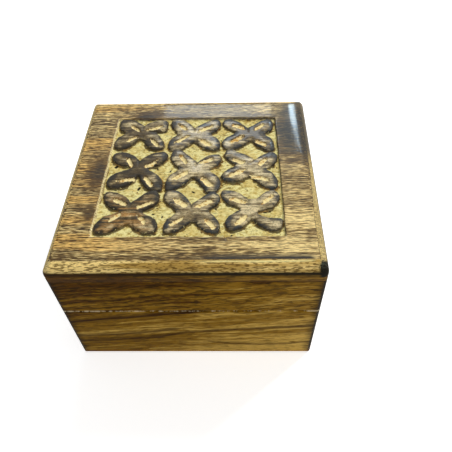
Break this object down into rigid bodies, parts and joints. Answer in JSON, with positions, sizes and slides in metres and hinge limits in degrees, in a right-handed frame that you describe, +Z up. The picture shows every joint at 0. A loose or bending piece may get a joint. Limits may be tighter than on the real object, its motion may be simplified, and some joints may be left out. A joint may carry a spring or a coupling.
{
  "type": "hinged wooden dice box",
  "caption": "Small square wooden box with a hinged lid, its top carved with a grid of four-petalled flowers; keeps dice and small game pieces.",
  "frame": {"origin": "middle of the flat underside", "axes": "+Z up; the front of the box faces -Y; +X to the right of someone who faces the front; the hinges are at the back, +Y"},
  "size_m": [0.102, 0.1037, 0.064],
  "materials": {
    "box_wood": "lacquered hardwood with long streaks, satin gloss outside and bare inside",
    "bottom_wood": "bare sanded hardwood",
    "carved_wood": "torch-burnt and lacquered, with pale raw wood where it is carved and sanded back",
    "hinge_brass": "plain rolled brass",
    "screw_brass": "turned brass"
  },
  "bodies": {
    "base": {"base_front_wall": "box_wood", "base_back_wall": "box_wood", "base_left_wall": "box_wood", "base_right_wall": "box_wood", "bottom_board": "bottom_wood", "left_hinge_lower_leaf": "hinge_brass", "left_hinge_pin": "hinge_brass", "left_hinge_lower_screws": "screw_brass", "right_hinge_lower_leaf": "hinge_brass", "right_hinge_pin": "hinge_brass", "right_hinge_lower_screws": "screw_brass"},
    "lid": {"lid_front_wall": "box_wood", "lid_back_wall": "box_wood", "lid_left_wall": "box_wood", "lid_right_wall": "box_wood", "lid_top_board": "carved_wood", "left_hinge_upper_leaf": "hinge_brass", "left_hinge_upper_screws": "screw_brass", "right_hinge_upper_leaf": "hinge_brass", "right_hinge_upper_screws": "screw_brass"}
  },
  "joints": [
    {"name": "lid_hinge", "type": "hinge", "parent": "base", "child": "lid", "pos_m": [0, 0.0515, 0.03625], "axis": [-1, 0, 0], "range_deg": [0, 180]}
  ]
}
